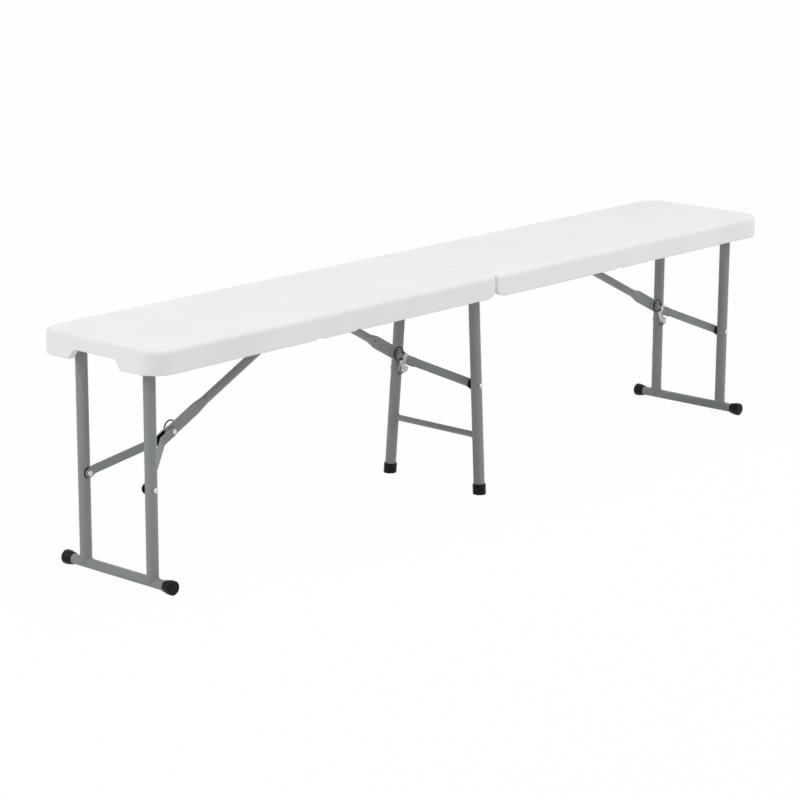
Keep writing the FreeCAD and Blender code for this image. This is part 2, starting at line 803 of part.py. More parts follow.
def tube_face_y(leg_set):
    if leg_set is middle_set:
        return middle_tube_y(middle_rivet_height) - leg_radius
    return end_tube_y - leg_radius


# Room that a leaning tube needs beside a flat washer or head of this diameter.
def lean_room(leg_set, diameter):
    lean = lean_tangent if leg_set is middle_set else 0.0
    return diameter / 2 * lean + press_clearance


def washer_face_y(leg_set):
    return tube_face_y(leg_set) - lean_room(leg_set, washer_diameter)


def arm_outer_y(leg_set):
    return washer_face_y(leg_set) - washer_thickness - face_clearance


# Centre line of the rear arm: flat along the tube, then in to the knee, and flat again.
def arm_path(leg_set):
    tube_y = arm_outer_y(leg_set) - arm_thickness / 2
    knee_y = (arm_gap_at_knee + arm_thickness) / 2
    length = leg_set.arm_length
    return [V(-arm_width, tube_y, 0), V(arm_straight_at_tube, tube_y, 0),
            V(length - arm_straight_at_knee, knee_y, 0), V(length + arm_width, knee_y, 0)]


def strap_outline_prism(length, width):
    end = width / 2
    box = Part.makeBox(length, half_width, width, V(0, 0, -end))
    for x in (0, length):
        box = box.fuse(cylinder_y(end, 0, half_width, x, 0))
    return box


def brace_arm(leg_set):
    strip = bent_strip(arm_path(leg_set), arm_thickness, arm_width, arm_bend_radius)
    strip = strip.common(strap_outline_prism(leg_set.arm_length, arm_width))
    rivet_hole = cylinder_y(rivet_diameter / 2 + turning_fit, 0, half_width, 0, 0)
    knee_hole = cylinder_y(knee_rivet_diameter / 2 + press_clearance, 0, half_width,
                           leg_set.arm_length, 0)
    return strip.cut(rivet_hole).cut(knee_hole)


# Rivet through the arm, the washer and the whole leg tube.
def arm_rivet(leg_set):
    head_room = lean_room(leg_set, rivet_head_diameter)
    inner_y = arm_outer_y(leg_set) - arm_thickness - face_clearance
    outer_y = tube_face_y(leg_set) + leg_tube_diameter + head_room
    rivet = cylinder_y(rivet_diameter / 2, inner_y, outer_y, 0, 0)
    inner_head = cylinder_y(rivet_head_diameter / 2, inner_y - rivet_head_height, inner_y, 0, 0)
    outer_head = cylinder_y(rivet_head_diameter / 2, outer_y, outer_y + rivet_head_height, 0, 0)
    rims = [edge for edge in inner_head.Edges
            if edge.BoundBox.YMax < inner_y - rivet_head_height + touching]
    inner_head = inner_head.makeChamfer(head_bevel, rims)
    rims = [edge for edge in outer_head.Edges
            if edge.BoundBox.YMin > outer_y + rivet_head_height - touching]
    outer_head = outer_head.makeChamfer(head_bevel, rims)
    return rivet.fuse([inner_head, outer_head]).removeSplitter()


def arm_washer(leg_set):
    face_y = washer_face_y(leg_set)
    washer = cylinder_y(washer_diameter / 2, face_y - washer_thickness, face_y, 0, 0)
    return washer.cut(cylinder_y(rivet_diameter / 2 + press_clearance, 0, half_width, 0, 0))


# Cross-section of the link, from a flat of the given width to a full round, as four edges.
def link_section(x, middle_y, section_width, section_thickness):
    half = section_width / 2
    thick = section_thickness / 2
    round_off = math.sqrt(0.5) if section_width == section_thickness else None
    if round_off:
        corner_z = half * round_off
        corner_y = thick * round_off
    else:
        corner_z = half - thick
        corner_y = thick
    points = [V(x, middle_y + corner_y, -corner_z), V(x, middle_y + corner_y, corner_z),
              V(x, middle_y - corner_y, corner_z), V(x, middle_y - corner_y, -corner_z)]
    crowns = [V(x, middle_y + thick, 0), V(x, middle_y, half),
              V(x, middle_y - thick, 0), V(x, middle_y, -half)]
    edges = []
    for index, crown in enumerate(crowns):
        start = points[index]
        end = points[(index + 1) % 4]
        straight = index % 2 == 0 and not round_off
        if straight:
            edges.append(Part.LineSegment(start, end).toShape())
        else:
            edges.append(Part.Arc(start, crown, end).toShape())
    return Part.Wire(edges)


# Tube pressed flat at both ends, with the knee end wide and the upper end narrow.
def brace_link(leg_set, end_y):
    knee_x = leg_set.arm_length
    end_x = leg_set.reach
    knee_flat_end = knee_x + link_knee_flat
    end_flat_start = end_x - link_end_flat
    knee_round = knee_flat_end + link_taper
    end_round = end_flat_start - link_taper
    knee_half = link_knee_width / 2
    end_half = link_end_width / 2

    def flat_section(x, y, width):
        return link_section(x, y, width, link_flat_thickness)

    def round_section(x):
        return link_section(x, 0, link_diameter, link_diameter)

    knee_flat = Part.Face(flat_section(knee_x - knee_half, 0, link_knee_width))
    knee_flat = knee_flat.extrude(V(link_knee_flat + knee_half, 0, 0))
    rounding = Part.makeBox(link_knee_flat, bench_width, link_knee_width,
                            V(knee_x, -half_width, -knee_half))
    rounding = rounding.fuse(cylinder_y(knee_half, -half_width, half_width, knee_x, 0))
    knee_flat = knee_flat.common(rounding)
    end_flat = Part.Face(flat_section(end_flat_start, end_y, link_end_width))
    end_flat = end_flat.extrude(V(link_end_flat + end_half, 0, 0))
    rounding = Part.makeBox(link_end_flat, bench_width, link_end_width,
                            V(end_flat_start, -half_width, -end_half))
    rounding = rounding.fuse(cylinder_y(end_half, -half_width, half_width, end_x, 0))
    end_flat = end_flat.common(rounding)
    knee_taper = Part.makeLoft([flat_section(knee_flat_end, 0, link_knee_width),
                                round_section(knee_round)], True, True)
    end_taper = Part.makeLoft([round_section(end_round),
                               flat_section(end_flat_start, end_y, link_end_width)],
                              True, True)
    bar = Part.Face(round_section(knee_round)).extrude(V(end_round - knee_round, 0, 0))
    link = knee_flat.fuse([knee_taper, bar, end_taper, end_flat]).removeSplitter()
    knee_hole = cylinder_y(knee_pin_diameter / 2 + press_clearance, -half_width, half_width,
                           knee_x, 0)
    end_hole = cylinder_y(pin_radius + turning_fit, -half_width, half_width, end_x, 0)
    return link.cut([knee_hole, end_hole])


def knee_pin(leg_set):
    half_pin = link_flat_thickness / 2 + face_clearance
    return cylinder_y(knee_pin_diameter / 2, -half_pin, half_pin, leg_set.arm_length, 0)


# Rivet end on the +Y arm: its head outside, its stub just short of the pin in the link.
def knee_rivet(leg_set):
    stub_y = link_flat_thickness / 2 + 2 * face_clearance
    arm_face_y = arm_gap_at_knee / 2 + arm_thickness
    x = leg_set.arm_length
    stub = cylinder_y(knee_rivet_diameter / 2, stub_y, arm_face_y, x, 0)
    top_y = arm_face_y + rivet_head_height
    head = cylinder_y(knee_rivet_head_diameter / 2, arm_face_y, top_y, x, 0)
    rim = [edge for edge in head.Edges if edge.BoundBox.YMin > top_y - touching]
    head = head.makeChamfer(head_bevel, rim)
    return stub.fuse(head).removeSplitter()


# Lock, on the +Y arm: a sheet clip round the arm with two knuckles for the ring
ring_axis_y = (arm_gap_at_knee / 2 + arm_thickness + lock_sheet
               + ring_wire_diameter / 2 + 2 * turning_fit)


# Fin that hangs below the clip, for the thumb that frees the lock.
def lock_tail(leg_set):
    knee_x = leg_set.arm_length
    outline = rounded_outline(
        [V(knee_x - lock_bracket_end, 0, -arm_width / 2 - lock_sheet),
         V(knee_x - lock_bracket_start, 0, -arm_width / 2 - lock_sheet),
         V(knee_x - lock_bracket_start - lock_sheet, 0, -tail_root_drop),
         V(knee_x - tail_reach, 0, -tail_root_drop),
         V(knee_x - tail_reach, 0, -tail_drop),
         V(knee_x - tail_reach + 2 * tail_tip_radius, 0, -tail_drop)],
        [0.0, 0.0, 0.0, tail_tip_radius / 2, tail_tip_radius, tail_tip_radius])
    sheet_y = arm_gap_at_knee / 2 + arm_thickness
    tail = prism(outline, V(0, sheet_y, 0), V(0, lock_sheet, 0))
    hole = cylinder_y(tail_hole_diameter / 2, 0, half_width,
                      knee_x - tail_reach + tail_tip_radius, -tail_drop + tail_hole_rise)
    return tail.cut(hole)


def lock_bracket(leg_set):
    arm_low_y = arm_gap_at_knee / 2
    arm_high_y = arm_low_y + arm_thickness
    plate_top_y = arm_high_y + lock_sheet
    half_high = arm_width / 2 + press_clearance + lock_sheet
    start_x = leg_set.arm_length - lock_bracket_start
    length = lock_bracket_start - lock_bracket_end
    clip = Part.makeBox(length, plate_top_y - arm_low_y, 2 * half_high,
                        V(start_x, arm_low_y, -half_high))
    corners = [edge for edge in clip.Edges
               if edge.BoundBox.YMin > plate_top_y - touching
               and edge.BoundBox.ZLength < touching]
    clip = clip.makeFillet(lock_bend_radius, corners)
    slot_half = arm_width / 2 + press_clearance
    clip = clip.cut(Part.makeBox(length, arm_thickness + press_clearance, 2 * slot_half,
                                 V(start_x, arm_low_y, -slot_half)))
    bar_x = leg_set.arm_length + ring_centre_offset - ring_bar_distance
    knuckle_radius = ring_wire_diameter / 2 + knuckle_wall
    for low_z in (-knuckle_length - face_clearance, face_clearance):
        knuckle = Part.makeCylinder(knuckle_radius, knuckle_length, V(bar_x, ring_axis_y, low_z))
        clip = clip.fuse(knuckle)
    clip = clip.fuse(lock_tail(leg_set)).removeSplitter()
    bore = Part.makeCylinder(ring_wire_diameter / 2 + turning_fit, 4 * knuckle_length,
                             V(bar_x, ring_axis_y, -2 * knuckle_length))
    return clip.cut(bore)


# Thin strip along the inner face of the arm, taller than the arm.
def lock_liner(leg_set):
    path = arm_path(leg_set)
    distance = -(arm_thickness + lock_liner_thickness) / 2 - press_clearance
    moved = offset_path(path, distance)
    along = unit(moved[1] - moved[2])
    length = leg_set.arm_length
    start = moved[2] + along * ((moved[2].x - (length - lock_liner_start)) / abs(along.x))
    end = V(length - lock_liner_end, moved[2].y, 0)
    return bent_strip([start, moved[2], end], lock_liner_thickness, lock_liner_height,
                      arm_bend_radius)


# Wire ring round the knee, closed by a straight bar in the knuckles of the clip.
def lock_ring(leg_set):
    half_angle = math.radians(ring_arc_half_angle)
    tip = V(ring_radius * math.cos(half_angle), 0, ring_radius * math.sin(half_angle))
    tangent = V(-math.sin(half_angle), 0, math.cos(half_angle))
    corner = tip + tangent * ((-ring_bar_distance - tip.x) / tangent.x)
    low_tip = V(tip.x, 0, -tip.z)
    low_corner = V(corner.x, 0, -corner.z)
    to_tip = unit(tip - corner)
    bend_half = to_tip.getAngle(V(0, 0, -1)) / 2
    reach = ring_bend_radius / math.tan(bend_half)
    inward = unit(to_tip + V(0, 0, -1))
    crown = corner + inward * (ring_bend_radius / math.sin(bend_half) - ring_bend_radius)
    low_crown = V(crown.x, 0, -crown.z)
    on_leg = corner + to_tip * reach
    low_on_leg = V(on_leg.x, 0, -on_leg.z)
    on_bar = corner + V(0, 0, -reach)
    low_on_bar = low_corner + V(0, 0, reach)
    path = Part.Wire([
        Part.LineSegment(low_on_bar, on_bar).toShape(),
        Part.Arc(on_bar, crown, on_leg).toShape(),
        Part.LineSegment(on_leg, tip).toShape(),
        Part.Arc(tip, V(ring_radius, 0, 0), low_tip).toShape(),
        Part.LineSegment(low_tip, low_on_leg).toShape(),
        Part.Arc(low_on_leg, low_crown, low_on_bar).toShape()])
    ring = pipe_along(path, ring_wire_diameter / 2, low_on_bar, V(0, 0, 1))
    ring.translate(V(leg_set.arm_length + ring_centre_offset, ring_axis_y, 0))
    return ring


link_end_offsets = {"left": -link_side_offset, "middle": link_side_offset, "right": 0.0}

for leg_set in leg_sets:
    name = leg_set.name
    arm = brace_arm(leg_set)
    save("brace_arm_rear_" + name, [leg_set.place(arm)])
    save("brace_arm_front_" + name, [leg_set.place(mirror_y(arm))])
    save("arm_rivets_" + name, [leg_set.place(side) for side in pair_y(arm_rivet(leg_set))])
    save("arm_washers_" + name, [leg_set.place(side) for side in pair_y(arm_washer(leg_set))])
    save("brace_link_" + name, [leg_set.place(brace_link(leg_set, link_end_offsets[name]))])
    save("knee_pin_" + name, [leg_set.place(knee_pin(leg_set))])
    save("knee_rivets_" + name, [leg_set.place(side) for side in pair_y(knee_rivet(leg_set))])
    save("lock_bracket_" + name, [leg_set.place_on_lock_side(lock_bracket(leg_set))])
    save("lock_liner_" + name, [leg_set.place_on_lock_side(lock_liner(leg_set))])
    save("lock_ring_" + name, [leg_set.place_on_lock_side(lock_ring(leg_set))])
    print(name, "arm", round(leg_set.arm_length, 2), "link", round(leg_set.link_length, 2),
          "leg turns", leg_set.fold, "link turns", round(leg_set.link_turn, 3),
          "arm turns", round(leg_set.arm_turn, 3))
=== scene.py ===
import json
import math

import bmesh
import bpy
from mathutils import Matrix, Vector
from mathutils.bvhtree import BVHTree

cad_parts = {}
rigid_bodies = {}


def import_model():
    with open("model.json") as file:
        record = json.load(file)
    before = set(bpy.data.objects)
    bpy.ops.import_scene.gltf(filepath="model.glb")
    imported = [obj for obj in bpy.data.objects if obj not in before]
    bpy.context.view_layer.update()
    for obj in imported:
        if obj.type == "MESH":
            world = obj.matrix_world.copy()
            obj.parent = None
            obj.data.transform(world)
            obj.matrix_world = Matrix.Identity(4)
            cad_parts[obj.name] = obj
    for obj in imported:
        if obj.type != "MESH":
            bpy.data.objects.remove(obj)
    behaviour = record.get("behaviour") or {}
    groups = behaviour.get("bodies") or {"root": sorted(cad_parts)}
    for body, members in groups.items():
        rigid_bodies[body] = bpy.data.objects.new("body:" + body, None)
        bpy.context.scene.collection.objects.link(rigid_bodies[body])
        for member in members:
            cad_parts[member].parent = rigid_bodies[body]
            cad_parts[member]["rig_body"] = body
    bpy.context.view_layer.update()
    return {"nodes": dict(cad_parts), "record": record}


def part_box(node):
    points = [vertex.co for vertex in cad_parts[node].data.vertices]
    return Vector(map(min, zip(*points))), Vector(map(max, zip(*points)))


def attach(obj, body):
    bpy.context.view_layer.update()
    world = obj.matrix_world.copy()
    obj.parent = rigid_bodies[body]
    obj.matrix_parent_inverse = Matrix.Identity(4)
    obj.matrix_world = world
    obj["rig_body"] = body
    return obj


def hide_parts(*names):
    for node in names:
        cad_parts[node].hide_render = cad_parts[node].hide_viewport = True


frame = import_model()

record = frame["record"]
mm = 0.001


def linearColour(hexText):
    channels = []
    for start in (1, 3, 5):
        value = int(hexText[start:start + 2], 16) / 255
        channels.append(value / 12.92 if value <= 0.04045 else ((value + 0.055) / 1.055) ** 2.4)
    return (*channels, 1.0)


# A setting or link goes by the name or number of its socket. Any other setting is a property.
def addNode(tree, kind, settings=None, links=None):
    node = tree.nodes.new(kind)
    for name, value in (settings or {}).items():
        if isinstance(name, int) or name in node.inputs:
            node.inputs[name].default_value = value
        else:
            setattr(node, name, value)
    for name, source in (links or {}).items():
        tree.links.new(source, node.inputs[name])
    return node


def startMaterial(name):
    material = bpy.data.materials.new(name)
    material.use_nodes = True
    material.node_tree.nodes.clear()
    return material, material.node_tree


# Camera

cameraView = {
    "position": (-3.93253, -3.38505, 1.46614),
    "yaw": 48.48,       # degrees from +Y towards +X
    "tilt": -14.05,     # degrees above level
    "roll": 0.26,
    "lensMm": 121.83,
    "sensorMm": 36,
    "farClip": 60,
}


def makeCamera():
    data = bpy.data.cameras.new("camera")
    data.lens = cameraView["lensMm"]
    data.sensor_width = cameraView["sensorMm"]
    data.clip_end = cameraView["farClip"]
    camera = bpy.data.objects.new("camera", data)
    turn = Matrix.Rotation(math.radians(-cameraView["yaw"]), 4, "Z")
    turn = turn @ Matrix.Rotation(math.radians(90 + cameraView["tilt"]), 4, "X")
    turn = turn @ Matrix.Rotation(math.radians(cameraView["roll"]), 4, "Z")
    camera.matrix_world = Matrix.Translation(cameraView["position"]) @ turn
    bpy.context.scene.collection.objects.link(camera)
    bpy.context.scene.camera = camera


# Studio

studio = {
    "worldLight": 0.40,
    "plainWhite": 1.0,      # strength that the camera sees as white
    "floorColour": "#f6f6f6",
    "floorGlow": 0.97,      # share of the floor that the camera sees as plain white
    "floorSize": 30.0,
    "lampAim": (0, 0, 0.3),
    "lamps": [
        # name, position, size, watts
        ("lampAbove", (0.4, 0.0, 3.4), 2.6, 29.0),
        ("lampLeft", (-3.4, 0.5, 2.3), 1.6, 42.0),
        ("lampRight", (3.4, -5.0, 4.8), 3.0, 182.0),
    ],
}


# One where the camera, a mirror or a window would show the background, else zero.
def backgroundRays(tree):
    path = addNode(tree, "ShaderNodeLightPath")
    seen = path.outputs["Is Camera Ray"]
    for name in ("Is Glossy Ray", "Is Transmission Ray"):
        both = addNode(tree, "ShaderNodeMath", {"operation": "ADD", "use_clamp": True},
                       {0: seen, 1: path.outputs[name]})
        seen = both.outputs[0]
    return seen


def mixShaders(tree, share, base, cover):
    mix = addNode(tree, "ShaderNodeMixShader",
                  links={"Fac": share, 1: base.outputs[0], 2: cover.outputs[0]})
    return mix.outputs[0]


def makeWorld():
    world = bpy.data.worlds.new("studioWhite")
    world.use_nodes = True
    tree = world.node_tree
    tree.nodes.clear()
    lighting, backdrop = [
        addNode(tree, "ShaderNodeBackground", {"Color": (1, 1, 1, 1), "Strength": strength})
        for strength in (studio["worldLight"], studio["plainWhite"])]
    light = mixShaders(tree, backgroundRays(tree), lighting, backdrop)
    addNode(tree, "ShaderNodeOutputWorld", links={"Surface": light})
    bpy.context.scene.world = world
    bpy.context.scene.view_settings.view_transform = "Standard"


def makeFloor():
    half = studio["floorSize"] / 2
    mesh = bpy.data.meshes.new("floor")
    mesh.from_pydata([(-half, -half, 0), (half, -half, 0), (half, half, 0), (-half, half, 0)],
                     [], [(0, 1, 2, 3)])
    floor = bpy.data.objects.new("floor", mesh)
    bpy.context.scene.collection.objects.link(floor)
    material, tree = startMaterial("studioFloorPaint")
    share = addNode(tree, "ShaderNodeMath", {"operation": "MULTIPLY", 1: studio["floorGlow"]},
                    {0: backgroundRays(tree)})
    paint = addNode(tree, "ShaderNodeBsdfDiffuse",
                    {"Color": linearColour(studio["floorColour"])})
    glow = addNode(tree, "ShaderNodeEmission", {"Strength": studio["plainWhite"]})
    surface = mixShaders(tree, share.outputs[0], paint, glow)
    addNode(tree, "ShaderNodeOutputMaterial", links={"Surface": surface})
    mesh.materials.append(material)


def makeLamps():
    for name, position, size, watts in studio["lamps"]:
        data = bpy.data.lights.new(name, "AREA")
        data.energy = watts
        data.size = size
        lamp = bpy.data.objects.new(name, data)
        lamp.location = position
        aim = Vector(studio["lampAim"]) - Vector(position)
        lamp.rotation_euler = aim.to_track_quat("-Z", "Y").to_euler()
        bpy.context.scene.collection.objects.link(lamp)


# Materials

def spotIn(tree):
    return addNode(tree, "ShaderNodeTexCoord").outputs["Object"]


def noiseOf(tree, spot, cellMm, detail):
    noise = addNode(tree, "ShaderNodeTexNoise", {"Scale": 1 / (cellMm * mm), "Detail": detail},
                    {"Vector": spot})
    return noise.outputs["Fac"]


# Drifts from the dark to the light shade of a finish over its share of a pattern's range.
def shadeOf(tree, pattern, finish):
    shade = addNode(tree, "ShaderNodeValToRGB", links={"Fac": pattern})
    stops = zip(shade.color_ramp.elements, finish["shadeRange"],
                (finish["dark"], finish["light"]))
    for element, position, colour in stops:
        element.position = position
        element.color = linearColour(colour)
    return shade.outputs["Color"]


def bumpOf(tree, pattern, depthMm, strength, under=None, invert=False):
    links = {"Height": pattern}
    if under:
        links["Normal"] = under
    bump = addNode(tree, "ShaderNodeBump",
                   {"Distance": depthMm * mm, "Strength": strength, "invert": invert}, links)
    return bump.outputs["Normal"]


def closeMaterial(tree, settings, links):
    shader = addNode(tree, "ShaderNodeBsdfPrincipled", settings, links)
    addNode(tree, "ShaderNodeOutputMaterial", links={"Surface": shader.outputs["BSDF"]})


def closeCoat(tree, finish, colour, normal):
    closeMaterial(tree, {"Roughness": finish["roughness"], "IOR": finish["ior"],
                         "Specular IOR Level": finish["specular"]},
                  {"Base Color": colour, "Normal": normal})


# High-density polyethylene, blow-moulded in a grained mould: a soft white with a low sheen
# that breaks up in the fine pebble grain.
seatPlastic = {
    "light": "#f0f0f1",
    "dark": "#ecedee",
    "shadeRange": (0.35, 0.65),
    "roughness": 0.62,
    "ior": 1.54,
    "specular": 0.2,
    "pebbleMm": 1.8,        # grain cells of about 1.5 to 2 mm
    "pebbleDepthMm": 0.05,
    "pebbleStrength": 0.7,
    "wavinessMm": 130.0,    # slow sink of the skin between the walls
    "wavinessDepthMm": 0.12,
    "wavinessStrength": 0.5,
    "wavinessDetail": 1.0,
    "edgeMm": 2.5,          # soft edges of the skirt foot and the notches
}


def makeSeatPlastic():
    material, tree = startMaterial("blowMouldedPolyethylene")
    spot = spotIn(tree)
    pebbles = addNode(tree, "ShaderNodeTexVoronoi",
                      {"Scale": 1 / (seatPlastic["pebbleMm"] * mm), "feature": "SMOOTH_F1"},
                      {"Vector": spot})
    sink = noiseOf(tree, spot, seatPlastic["wavinessMm"], seatPlastic["wavinessDetail"])
    edges = addNode(tree, "ShaderNodeBevel", {"Radius": seatPlastic["edgeMm"] * mm})
    waves = bumpOf(tree, sink, seatPlastic["wavinessDepthMm"], seatPlastic["wavinessStrength"],
                   edges.outputs["Normal"])
    grain = bumpOf(tree, pebbles.outputs["Distance"], seatPlastic["pebbleDepthMm"],
                   seatPlastic["pebbleStrength"], waves, invert=True)
    closeCoat(tree, seatPlastic, shadeOf(tree, sink, seatPlastic), grain)
    return material


# Polyester powder coat baked on steel tube: an even neutral grey with a fine orange-peel skin
# and a scatter of slightly lighter and darker grains.
powderCoat = {
    "light": "#919594",
    "dark": "#7f8382",
    "shadeRange": (0.36, 0.64),
    "roughness": 0.42,
    "ior": 1.5,
    "specular": 0.35,
    "peelMm": 1.4,          # waves of the baked skin
    "peelDetail": 1.0,
    "peelDepthMm": 0.025,
    "peelStrength": 0.8,
    "grainMm": 0.9,         # powder grains, drawn coarser than real so that they show
    "grainDetail": 3.0,
}


def makePowderCoat():
    material, tree = startMaterial("powderCoatedSteel")
    spot = spotIn(tree)
    grains = noiseOf(tree, spot, powderCoat["grainMm"], powderCoat["grainDetail"])
    peel = noiseOf(tree, spot, powderCoat["peelMm"], powderCoat["peelDetail"])
    closeCoat(tree, powderCoat, shadeOf(tree, grains, powderCoat),
              bumpOf(tree, peel, powderCoat["peelDepthMm"], powderCoat["peelStrength"]))
    return material


# Bright zinc plating on pressed steel: a pale cool metal, cloudy from the bath, with the
# fine roughness of the rolled sheet.
zincPlate = {
    "light": "#dfe1e3",
    "dark": "#c3c6c9",
    "shadeRange": (0.3, 0.7),
    "roughLow": 0.26,
    "roughHigh": 0.42,
    "cloudMm": 5.0,
    "cloudDetail": 4.0,
    "sheetMm": 0.5,
    "sheetDetail": 2.0,
    "sheetDepthMm": 0.01,
    "sheetStrength": 0.5,
}


def makeZincPlate():
    material, tree = startMaterial("zincPlatedSteel")
    spot = spotIn(tree)
    clouds = noiseOf(tree, spot, zincPlate["cloudMm"], zincPlate["cloudDetail"])
    sheet = noiseOf(tree, spot, zincPlate["sheetMm"], zincPlate["sheetDetail"])
    rough = addNode(tree, "ShaderNodeMapRange",
                    {"To Min": zincPlate["roughLow"], "To Max": zincPlate["roughHigh"]},
                    {"Value": clouds})
    normal = bumpOf(tree, sheet, zincPlate["sheetDepthMm"], zincPlate["sheetStrength"])
    closeMaterial(tree, {"Metallic": 1.0},
                  {"Base Color": shadeOf(tree, clouds, zincPlate),
                   "Roughness": rough.outputs["Result"], "Normal": normal})
    return material


# Black low-density polyethylene, injection-moulded with a spark-eroded skin: nearly black
# with a dull grey sheen.
capPlastic = {
    "light": "#131314",
    "dark": "#070708",
    "shadeRange": (0.35, 0.65),
    "roughness": 0.4,
    "ior": 1.51,
    "specular": 0.15,
    "skinMm": 0.8,
    "skinDetail": 3.0,
    "skinDepthMm": 0.03,
    "skinStrength": 0.7,
}


# Steel wire dipped in black vinyl: glossier than the caps, with slow runs.
dippedWire = {
    "light": "#161617",
    "dark": "#0c0c0d",
    "shadeRange": (0.35, 0.65),
    "roughness": 0.3,
    "ior": 1.53,
    "specular": 0.3,
    "skinMm": 3.0,
    "skinDetail": 1.0,
    "skinDepthMm": 0.08,
    "skinStrength": 0.6,
}


# One pattern gives both the shade and the relief.
def makeSkinned(name, finish):
    material, tree = startMaterial(name)
    skin = noiseOf(tree, spotIn(tree), finish["skinMm"], finish["skinDetail"])
    closeCoat(tree, finish, shadeOf(tree, skin, finish),
              bumpOf(tree, skin, finish["skinDepthMm"], finish["skinStrength"]))
    return material


def dressNodes():
    powder = makePowderCoat()
    dressing = {
        "seat_plastic": makeSeatPlastic(),
        "leg_steel": powder,
        "brace_steel": powder,
        "bracket_steel": powder,
        "zinc_plated": makeZincPlate(),
        "black_plastic": makeSkinned("mouldedBlackPolyethylene", capPlastic),
        "black_wire": makeSkinned("vinylDippedWire", dippedWire),
    }
    slotOfNode = {entry["node"]: entry["material_slot"] for entry in record["subparts"]}
    for name, node in frame["nodes"].items():
        node.data.materials.clear()
        node.data.materials.append(dressing[slotOfNode[name]])
    return dressing


makeCamera()
print("camera placed")
makeWorld()
makeFloor()
makeLamps()
print("studio lit")
finishes = dressNodes()
print("nodes dressed", len(frame["nodes"]))


# Mesh work shared by the small pieces

meshWork = {
    "sharpAngle": 50,       # degrees between faces that keep a sharp edge
    "weldMm": 0.001,        # corners this close are one
    "sortDigits": 5,        # metres rounded to this many digits put solids in order
    "beadSides": 8,
    "guideLimit": 0.8,      # an axis that leans more than this to X is guided by Z
}


# Two directions square to the axis and to each other.
def sideways(axis):
    free = abs(axis.x) < meshWork["guideLimit"]
    guide = Vector((1, 0, 0)) if free else Vector((0, 0, 1))
    across = axis.cross(guide).normalized()
    return across, axis.cross(across).normalized()


def evenAngles(count):
    return [2 * math.pi * step / count for step in range(count)]


# Directions square to the axis, evenly round it.
def spokes(axis, count):
    across, along = sideways(axis)
    return [across * math.cos(angle) + along * math.sin(angle) for angle in evenAngles(count)]


def circleRound(centre, axis, radius, count):
    return [centre + outward * radius for outward in spokes(axis, count)]


# Rings of a turned shape. A radius is a length in mm, or a function of the angle.
def turnedRings(centre, axis, profile, count):
    rings = []
    for radius, height in profile:
        ring = []
        for angle, outward in zip(evenAngles(count), spokes(axis, count)):
            reach = radius(angle) if callable(radius) else radius
            ring.append(centre + axis * (height * mm) + outward * (reach * mm))
        rings.append(ring)
    return rings


# Skin of four-sided faces over rings of equal count, closed into a loop or by two ends.
def skinRings(mesh, rings, loop=False):
    rows = [[mesh.verts.new(point) for point in ring] for ring in rings]
    pairs = list(zip(rows, rows[1:]))
    if loop:
        pairs.append((rows[-1], rows[0]))
    for low, high in pairs:
        for index in range(len(low)):
            after = (index + 1) % len(low)
            mesh.faces.new((low[index], low[after], high[after], high[index]))
    if not loop:
        mesh.faces.new(rows[0][::-1])
        mesh.faces.new(rows[-1])


# Round bead along a closed path. Its thickness in mm is a number, or a function of the share
# of the path that lies behind.
def sweepBead(mesh, path, thickness):
    middle = sum(path, Vector()) / len(path)
    rings = []
    for index, point in enumerate(path):
        ahead = (path[(index + 1) % len(path)] - path[index - 1]).normalized()
        outward = point - middle
        outward = (outward - ahead * outward.dot(ahead)).normalized()
        upward = ahead.cross(outward)
        reach = (thickness(index / len(path)) if callable(thickness) else thickness) * mm
        rings.append([point + (outward * math.cos(angle) + upward * math.sin(angle)) * reach
                      for angle in evenAngles(meshWork["beadSides"])])
    skinRings(mesh, rings, loop=True)


def addPiece(name, mesh, slotName, body):
    bmesh.ops.recalc_face_normals(mesh, faces=mesh.faces)
    data = bpy.data.meshes.new(name)
    mesh.to_mesh(data)
    mesh.free()
    data.shade_smooth()
    data.set_sharp_from_angle(angle=math.radians(meshWork["sharpAngle"]))
    data.materials.append(finishes[slotName])
    piece = bpy.data.objects.new(name, data)
    bpy.context.scene.collection.objects.link(piece)
    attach(piece, body)
    return piece


def bodyOf(nodeName):
    return frame["nodes"][nodeName]["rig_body"]


# Lowest and highest corner of every separate solid in a node, in a fixed order.
def looseParts(nodeName):
    mesh = bmesh.new()
    mesh.from_mesh(frame["nodes"][nodeName].data)
    bmesh.ops.remove_doubles(mesh, verts=mesh.verts, dist=meshWork["weldMm"] * mm)
    waiting = set(mesh.verts)
    parts = []
    while waiting:
        front = [waiting.pop()]
        points = []
        while front:
            vert = front.pop()
            points.append(vert.co.copy())
            for edge in vert.link_edges:
                other = edge.other_vert(vert)
                if other in waiting:
                    waiting.remove(other)
                    front.append(other)
        low = Vector([min(point[axis] for point in points) for axis in range(3)])
        high = Vector([max(point[axis] for point in points) for axis in range(3)])
        parts.append((low, high))
    mesh.free()
    digits = meshWork["sortDigits"]
    return sorted(parts, key=lambda part: [round(value, digits) for value in part[0]])


# Of a solid beside the middle of the bench: its end, the way outwards, and the middles of its
# inner and outer faces.
def placeOf(low, high):
    rear = low.y > 0
    centre = (low + high) / 2
    inner = Vector((centre.x, low.y if rear else high.y, centre.z))
    outer = Vector((centre.x, high.y if rear else low.y, centre.z))
    return "rear" if rear else "front", Vector((0, 1 if rear else -1, 0)), inner, outer


def surfaceOf(nodeName):
    mesh = bmesh.new()
    mesh.from_mesh(frame["nodes"][nodeName].data)
    surface = BVHTree.FromBMesh(mesh)
    mesh.free()
    return surface


# Where a tube pushed along its axis from the centre meets a surface.
def seamOnto(surface, centre, axis, radius, reach, count):
    return [surface.ray_cast(start, axis, reach)[0] or start + axis * reach
            for start in circleRound(centre, axis, radius, count)]


